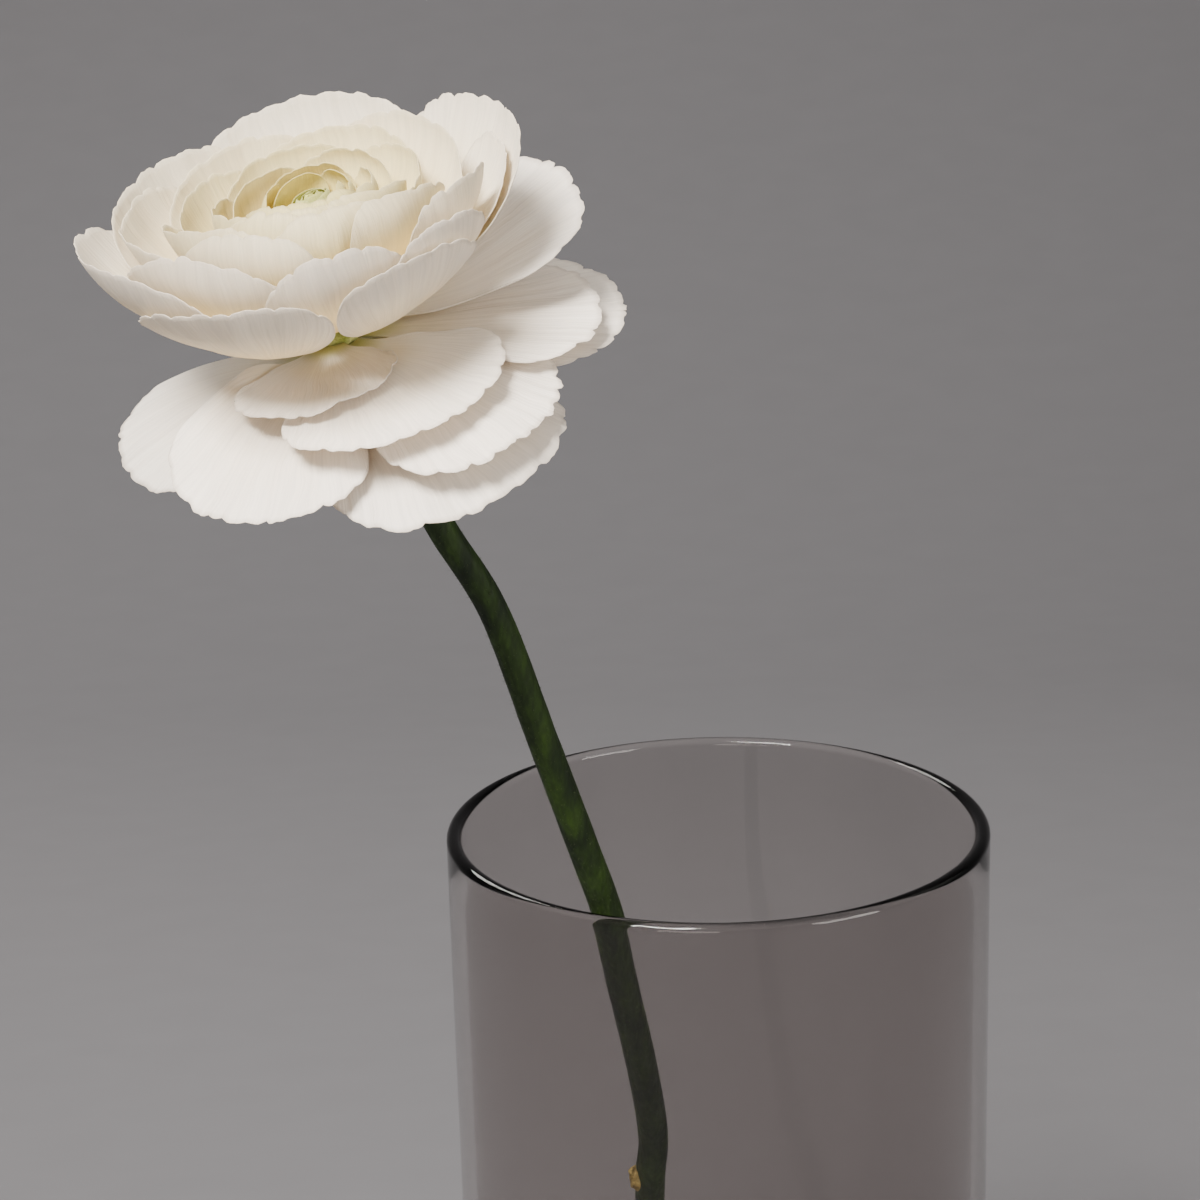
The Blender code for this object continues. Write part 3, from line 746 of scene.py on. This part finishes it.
def makeSepals():
    rows, columns = 34, 23
    base = (float(neckRadius(-sepal["drop"])) + flower["standoff"], -sepal["drop"])
    rim = (sepal["reach"], -sepal["drop"] - 3.6)
    ends = (base, (7.0, -sepal["drop"] + 0.3), (11.0, -sepal["drop"] - 0.4), rim)
    out = np.linspace(0.0, 1.0, rows)[:, None]
    across = np.linspace(-1.0, 1.0, columns)[None, :]
    for index in range(sepal["count"]):
        chance = np.random.default_rng(700 + index)
        spot = curvePoint(ends, out + 0.0 * across)
        spread = np.radians(sepal["halfWidth"]) * np.sin(np.pi * (0.22 + 0.765 * out)) ** 0.8
        angle = np.radians(sepal["turn"] + 360.0 / sepal["count"] * index) + spread * across
        rib = 0.12 * np.exp(-((across / 0.1) ** 2)) * (1.0 - out)
        wave = 0.22 * swing(out * 5.0, chance, 0.8, 2.4) * across * out
        height = spot[..., 1] + 0.5 * across**2 * (1.0 - 0.6 * out) - rib + wave
        grid = np.stack([spot[..., 0] * np.cos(angle), spot[..., 0] * np.sin(angle), height], axis=-1)
        petalPiece(f"sepal{index + 1}", grid, thickness(rows, columns, sepal["thickness"]), sepalFinish,
                   (1.0, chance.uniform()), (f"sepal_{index + 1}",))


makeSepals()
print("heart, receptacle and sepals made")

stem = {
    "route": (                  # mm, from the cut end on the vase's floor up to the flower
        (-11.5, 36.5, 11.6), (-12.6, 18.5, 60.0), (-14.3, -1.0, 106.0), (-14.6, -12.0, 134.0),
        (-14.1, -16.6, 146.0), (-16.2, -24.0, 163.0), (-19.5, -31.0, 182.0), (-22.3, -36.2, 197.5),
        (-26.3, -42.1, 212.0), (-32.7, -49.8, 234.0), (-39.8, -57.2, 258.0), (-47.2, -62.6, 273.0),
        (-53.4, -66.2, 286.0),
    ),
    "radii": (2.9, 2.7, 2.3),   # at the foot, at the vase's rim and at the top
    "rimAt": 0.62,
    "spacing": 1.1,
    "sides": 48,
    "grooves": 7,
    "grooveDepth": 0.035,       # share of the radius
    "dark": (0.004, 0.011, 0.001),
    "light": (0.020, 0.044, 0.003),
    "hairs": 2600,
    "hairLength": (0.3, 0.75),  # mm
    "hairRadius": 0.035,
    "scarAt": 0.421,            # where a leaf was cut off, as a share of the stem's length
    "scarSize": (1.9, 2.0, 3.0),
    "scarOut": 2.2,
    "scarLean": (-12.0, 22.0),  # degrees, sideways and forwards
}


def stemPath():
    top = root - faces * (flower["neckDepth"] + 0.45)
    knots = np.array([*stem["route"], top - faces * 7.0, top])
    knots = np.array([2.0 * knots[0] - knots[1], *knots, top + faces * 7.0])
    points = []
    for start in range(1, len(knots) - 2):
        p0, p1, p2, p3 = knots[start - 1 : start + 3]
        for share in np.arange(0.0, 1.0, 0.025):
            bend = (2.0 * p0 - 5.0 * p1 + 4.0 * p2 - p3) * share**2
            sway = (3.0 * p1 - p0 - 3.0 * p2 + p3) * share**3
            points.append(0.5 * (2.0 * p1 + (p2 - p0) * share + bend + sway))
    points = np.array([*points, top])
    lengths = np.concatenate([[0.0], np.cumsum(np.linalg.norm(np.diff(points, axis=0), axis=1))])
    wanted = np.linspace(0.0, lengths[-1], round(lengths[-1] / stem["spacing"]) + 1)
    path = np.stack([np.interp(wanted, lengths, points[:, k]) for k in range(3)], axis=-1)
    return path, wanted / lengths[-1]


def stemRadius(share):
    foot, rim, top = stem["radii"]
    lower = mix(foot, rim, np.clip(share / stem["rimAt"], 0.0, 1.0))
    return mix(lower, top, ease((share - stem["rimAt"]) / 0.36))


def ringFrames(path):
    # ahead, and two directions across the stem at each point, turned as little as possible
    ahead = np.gradient(path, axis=0)
    ahead /= np.linalg.norm(ahead, axis=1, keepdims=True)
    first = [unit(np.cross(ahead[0], (0.0, 1.0, 0.0)))]
    for way in ahead[1:]:
        first.append(unit(first[-1] - way * (first[-1] @ way)))
    first = np.array(first)
    return ahead, first, np.cross(ahead, first)


def makeStem(path, share, radius):
    ahead, first, second = ringFrames(path)
    turns = np.linspace(0.0, 2 * np.pi, stem["sides"], endpoint=False)
    grooves = np.cos(stem["grooves"] * turns[None, :] + 1.5 * share[:, None])
    skin = radius[:, None] * (1.0 - stem["grooveDepth"] * (0.5 - 0.5 * grooves) ** 3)
    cosine, sine = np.cos(turns)[None, :, None], np.sin(turns)[None, :, None]
    ring = first[:, None, :] * cosine + second[:, None, :] * sine
    points = path[:, None, :] + ring * skin[..., None]
    # ends pulled in to a soft edge, then closed
    ends = []
    for at, way in ((0, -1.0), (-1, 1.0)):
        inner = path[at] + ring[at] * skin[at][:, None] * 0.9 + ahead[at] * way * 0.12
        ends.append(inner)
    rows = [ends[0], *points, ends[1]]
    points = np.concatenate([*rows, [path[0] - ahead[0] * 0.05], [path[-1] + ahead[-1] * 0.12]])
    sides, count = stem["sides"], len(rows)
    polygons = []
    for row in range(count - 1):
        for k in range(sides):
            a, b = row * sides + k, row * sides + (k + 1) % sides
            polygons.append((a, b, b + sides, a + sides))
    foot, top = count * sides, count * sides + 1
    polygons += [((k + 1) % sides, k, foot) for k in range(sides)]
    last = (count - 1) * sides
    polygons += [(last + k, last + (k + 1) % sides, top) for k in range(sides)]
    finish = greenFinish("stemDarkGreen", stem["dark"], stem["light"], 260.0, 0.6, 0.16,
                         stretch=(1.0, 1.0, 0.3))
    addMesh("stem", points * mm, polygons, finish, ("stem",))


def hairFinish():
    made, nodes, links, shader, out = newFinish("stemHairs")
    tint = nodes.new("ShaderNodeTexNoise")
    tint.inputs["Scale"].default_value = 500.0
    shades = ((0.3, (0.03, 0.05, 0.012)), (0.7, (0.10, 0.13, 0.05)))
    links.new(ramp(nodes, links, tint.outputs["Fac"], shades), shader.inputs["Base Color"])
    shader.inputs["Roughness"].default_value = 0.6
    return made


def makeHairs(path, radius, chance):
    # fine hairs, each a closed spike with three sides
    ahead, first, second = ringFrames(path)
    points, polygons = [], []
    for _ in range(stem["hairs"]):
        row = int(chance.uniform(0.03, 0.99) * (len(path) - 1))
        turn = chance.uniform(0.0, 2 * np.pi)
        away = first[row] * np.cos(turn) + second[row] * np.sin(turn)
        side = np.cross(ahead[row], away)
        foot = path[row] + away * (radius[row] * 0.97)
        long = chance.uniform(*stem["hairLength"])
        tip = foot + away * long + ahead[row] * long * chance.uniform(-0.2, 0.6)
        tip = tip + side * long * chance.uniform(-0.4, 0.4)
        begin = len(points)
        for k in range(3):
            corner = 2 * np.pi * k / 3
            around = side * np.cos(corner) + ahead[row] * np.sin(corner)
            points.append(foot + around * stem["hairRadius"])
        points.append(tip)
        polygons += [(begin + (k + 1) % 3, begin + k, begin + 3) for k in range(3)]
        polygons.append((begin, begin + 1, begin + 2))
    addMesh("stemHairs", np.array(points) * mm, polygons, hairFinish(), ())


def makeScar(path):
    # the scar of a cut leaf: a lump with a torn, dry face
    at = stem["scarAt"] * (len(path) - 1)
    row = int(at)
    centre = mix(path[row], path[row + 1], at - row) - np.array([stem["scarOut"], 0.0, 0.0])
    sideways, forwards = np.radians(stem["scarLean"])
    turned = Matrix.Rotation(sideways, 3, "Y") @ Matrix.Rotation(forwards, 3, "X")
    rings, sides = 26, 40
    points = [(0.0, 0.0, 1.0)]
    for down in np.linspace(0.0, np.pi, rings + 2)[1:-1]:
        for t in np.linspace(0.0, 2 * np.pi, sides, endpoint=False):
            points.append((np.sin(down) * np.cos(t), np.sin(down) * np.sin(t), np.cos(down)))
    points.append((0.0, 0.0, -1.0))
    points = np.array(points)
    torn = np.clip(-points[:, 0], 0.0, 1.0)
    rough = 1.0 + 0.07 * np.sin(points[:, 2] * 9.0 + points[:, 1] * 7.0) * torn
    rough = rough + 0.05 * np.sin(points[:, 1] * 21.0 + points[:, 2] * 5.0) * torn
    points = points * rough[:, None]
    points[:, 0] = np.maximum(points[:, 0], -0.82 + 0.1 * np.sin(points[:, 2] * 6.0))
    points = centre + (points * np.array(stem["scarSize"])) @ np.array(turned.transposed())
    scar = greenFinish("stemScarTan", (0.20, 0.15, 0.035), (0.52, 0.40, 0.13), 700.0, 0.65, 0.2)
    addMesh("stemScar", points * mm, turnedFaces(rings, sides), scar, ())


stemChance = np.random.default_rng(41)
stemLine, stemShare = stemPath()
stemGirth = stemRadius(stemShare) * (1.0 + 0.012 * swing(stemShare * 90.0, stemChance, 0.5, 3.0))
makeStem(stemLine, stemShare, stemGirth)
makeHairs(stemLine, stemGirth, stemChance)
makeScar(stemLine)
print("stem made")

vase = {
    "radius": 50.0,             # mm
    "height": 200.0,
    "wall": 2.8,
    "floor": 8.0,
    "footRound": 2.0,
    "innerRound": 3.0,
    "sides": 224,
    "glass": (0.68, 0.645, 0.635),
    "floorGlass": (0.97, 0.965, 0.96),
    "refraction": 1.33,
    "waves": 38.0,              # faint waves in the glass, per metre
    "roughness": 0.012,
}


def smokyGlass():
    made, nodes, links, shader, out = newFinish("smokyGlass")
    place = nodes.new("ShaderNodeTexCoord")
    drawn = nodes.new("ShaderNodeMapping")
    drawn.inputs["Scale"].default_value = (1.0, 1.0, 0.12)
    links.new(place.outputs["Object"], drawn.inputs["Vector"])
    waves = nodes.new("ShaderNodeTexNoise")
    waves.inputs["Scale"].default_value = vase["waves"]
    waves.inputs["Detail"].default_value = 2.0
    links.new(drawn.outputs[0], waves.inputs["Vector"])
    # the thick floor is clearer than the smoky wall
    high = nodes.new("ShaderNodeSeparateXYZ")
    links.new(place.outputs["Object"], high.inputs[0])
    climbed = mathNode(nodes, links, "MULTIPLY", high.outputs[2], 1.0 / (2.5 * vase["floor"] * mm), True)
    tint = ramp(nodes, links, climbed, ((0.42, vase["floorGlass"]), (1.0, vase["glass"])), "EASE")
    streaked = ramp(nodes, links, waves.outputs["Fac"], ((0.3, grey(0.96)), (0.7, grey(1.0))))
    links.new(mixColour(nodes, links, "MULTIPLY", 1.0, tint, streaked), shader.inputs["Base Color"])
    clean, worn = grey(vase["roughness"]), grey(vase["roughness"] * 2.2)
    wear = ramp(nodes, links, waves.outputs["Fac"], ((0.3, clean), (0.7, worn)))
    links.new(wear, shader.inputs["Roughness"])
    bump = nodes.new("ShaderNodeBump")
    bump.inputs["Strength"].default_value = 0.12
    bump.inputs["Distance"].default_value = 0.3 * mm
    links.new(waves.outputs["Fac"], bump.inputs["Height"])
    links.new(bump.outputs[0], shader.inputs["Normal"])
    shader.inputs["Transmission Weight"].default_value = 1.0
    shader.inputs["IOR"].default_value = vase["refraction"]
    shader.inputs["Specular IOR Level"].default_value = 0.5
    return made


def makeVase():
    inner, lip = vase["radius"] - vase["wall"], vase["wall"] / 2.0
    line = [(0.0, vase["floor"])]
    for radius in np.linspace(8.0, inner - vase["innerRound"] - 4.0, 5):
        line.append((radius, vase["floor"]))
    for angle in np.radians(np.linspace(90.0, 0.0, 9)):
        line.append((inner - vase["innerRound"] + vase["innerRound"] * np.cos(angle),
                     vase["floor"] + vase["innerRound"] * (1.0 - np.sin(angle))))
    for height in np.linspace(20.0, vase["height"] - 8.0, 24):
        line.append((inner, height))
    for angle in np.radians(np.linspace(180.0, 0.0, 25)):
        line.append((vase["radius"] - lip + lip * np.cos(angle), vase["height"] - lip + lip * np.sin(angle)))
    for height in np.linspace(vase["height"] - 8.0, 10.0, 24):
        line.append((vase["radius"], height))
    for angle in np.radians(np.linspace(90.0, 0.0, 9)):
        line.append((vase["radius"] - vase["footRound"] + vase["footRound"] * np.sin(angle),
                     vase["footRound"] * (1.0 - np.cos(angle))))
    for radius in np.linspace(vase["radius"] - 8.0, 8.0, 5):
        line.append((radius, 0.0))
    line.append((0.0, 0.0))
    turns = np.linspace(0.0, 2 * np.pi, vase["sides"], endpoint=False)
    middle = line[1:-1]
    points = [(0.0, 0.0, line[0][1])]
    for radius, height in middle:
        points += [(radius * np.cos(t), radius * np.sin(t), height) for t in turns]
    points.append((0.0, 0.0, line[-1][1]))
    addMesh("vase", np.array(points) * mm, turnedFaces(len(middle), vase["sides"]), smokyGlass(),
            ("vase",))


makeVase()
print("vase made")

view = {
    "from": (-0.0417, -0.4673, 0.3747),  # metres
    "down": 15.68,              # degrees, as are the next two
    "aside": 2.6,
    "roll": -1.6,
    "lens": 81.0,
}


def placeCamera():
    down, aside, roll = (np.radians(view[k]) for k in ("down", "aside", "roll"))
    ahead = np.array([np.sin(aside) * np.cos(down), np.cos(aside) * np.cos(down), -np.sin(down)])
    level = np.array([np.cos(aside), -np.sin(aside), 0.0])
    top = np.cross(level, ahead)
    acrossWay = np.cos(roll) * level + np.sin(roll) * top
    upWay = -np.sin(roll) * level + np.cos(roll) * top
    data = bpy.data.cameras.new("camera")
    data.lens = view["lens"]
    data.sensor_width = 36.0
    data.clip_start = 0.01
    camera = bpy.data.objects.new("camera", data)
    camera.matrix_world = Matrix.Translation(view["from"]) @ Matrix(
        (acrossWay, upWay, -ahead)
    ).transposed().to_4x4()
    bpy.context.scene.collection.objects.link(camera)
    bpy.context.scene.camera = camera


placeCamera()

lights = {
    "key": {"at": (-0.46, -0.70, 1.15), "towards": (-0.06, -0.07, 0.30), "size": 0.45, "power": 60.0,
            "colour": (1.0, 0.945, 0.875)},
    "front": {"at": (-0.35, -1.15, 0.32), "towards": (-0.06, -0.07, 0.28), "size": 0.5, "power": 3.0,
              "colour": (1.0, 0.94, 0.88)},
    "fill": {"at": (0.75, -0.70, 0.50), "towards": (-0.04, -0.05, 0.28), "size": 0.5, "power": 8.0,
             "colour": (1.0, 0.955, 0.91)},
    "back": {"at": (-0.5, 0.75, 0.95), "towards": (-0.06, -0.07, 0.30), "size": 0.4, "power": 6.0,
             "colour": (1.0, 0.96, 0.92)},
}


def placeLights():
    for name, look in lights.items():
        data = bpy.data.lights.new(name, "AREA")
        data.size = look["size"]
        data.energy = look["power"]
        data.color = look["colour"]
        lamp = bpy.data.objects.new(name, data)
        lamp.location = look["at"]
        aim = Vector(look["towards"]) - Vector(look["at"])
        lamp.rotation_euler = aim.to_track_quat("-Z", "Y").to_euler()
        bpy.context.scene.collection.objects.link(lamp)


placeLights()

sky = {
    "sides": (0.10, 0.099, 0.10),
    "overhead": (0.80, 0.77, 0.73),
    "from": 0.15,               # height at which it starts to brighten, as a share of straight up
    "to": 0.75,
}


def makeSky():
    # a soft ceiling: dim at the sides, brighter overhead
    world = bpy.data.worlds.new("studio")
    world.use_nodes = True
    nodes, links = world.node_tree.nodes, world.node_tree.links
    place = nodes.new("ShaderNodeTexCoord")
    split = nodes.new("ShaderNodeSeparateXYZ")
    links.new(place.outputs["Generated"], split.inputs[0])
    stops = ((sky["from"], sky["sides"]), (sky["to"], sky["overhead"]))
    links.new(ramp(nodes, links, split.outputs[2], stops, "EASE"), nodes["Background"].inputs[0])
    nodes["Background"].inputs[1].default_value = 1.0
    bpy.context.scene.world = world


makeSky()
print("camera and lights placed")

# floor and backdrop in one sweep
sweep = {
    "gap": 0.0001,              # metres under the vase's foot, so that the two faces don't fight
    "width": 5.0,
    "front": -1.6,
    "back": 1.3,
    "radius": 0.6,
    "height": 2.6,
    "colour": (0.099, 0.0985, 0.107),
}


def makeSweep():
    line = [(sweep["front"], -sweep["gap"])]
    for angle in np.linspace(0.0, np.pi / 2, 13):
        line.append((sweep["back"] - sweep["radius"] + sweep["radius"] * np.sin(angle),
                     sweep["radius"] * (1.0 - np.cos(angle)) - sweep["gap"]))
    line.append((sweep["back"], sweep["height"]))
    points = [(x, y, z) for y, z in line for x in (-sweep["width"] / 2, sweep["width"] / 2)]
    polygons = [(2 * k, 2 * k + 1, 2 * k + 3, 2 * k + 2) for k in range(len(line) - 1)]
    made, nodes, links, shader, out = newFinish("paperSweep")
    grain = nodes.new("ShaderNodeTexNoise")
    grain.inputs["Scale"].default_value = 220.0
    dull = tuple(0.97 * c for c in sweep["colour"])
    shades = ramp(nodes, links, grain.outputs["Fac"], ((0.3, dull), (0.7, sweep["colour"])))
    links.new(shades, shader.inputs["Base Color"])
    shader.inputs["Roughness"].default_value = 0.9
    mesh = bpy.data.meshes.new("sweep")
    mesh.from_pydata(points, [], polygons)
    mesh.shade_smooth()
    mesh.materials.append(made)
    piece = bpy.data.objects.new("sweep", mesh)
    bpy.context.scene.collection.objects.link(piece)


makeSweep()
print("floor made")
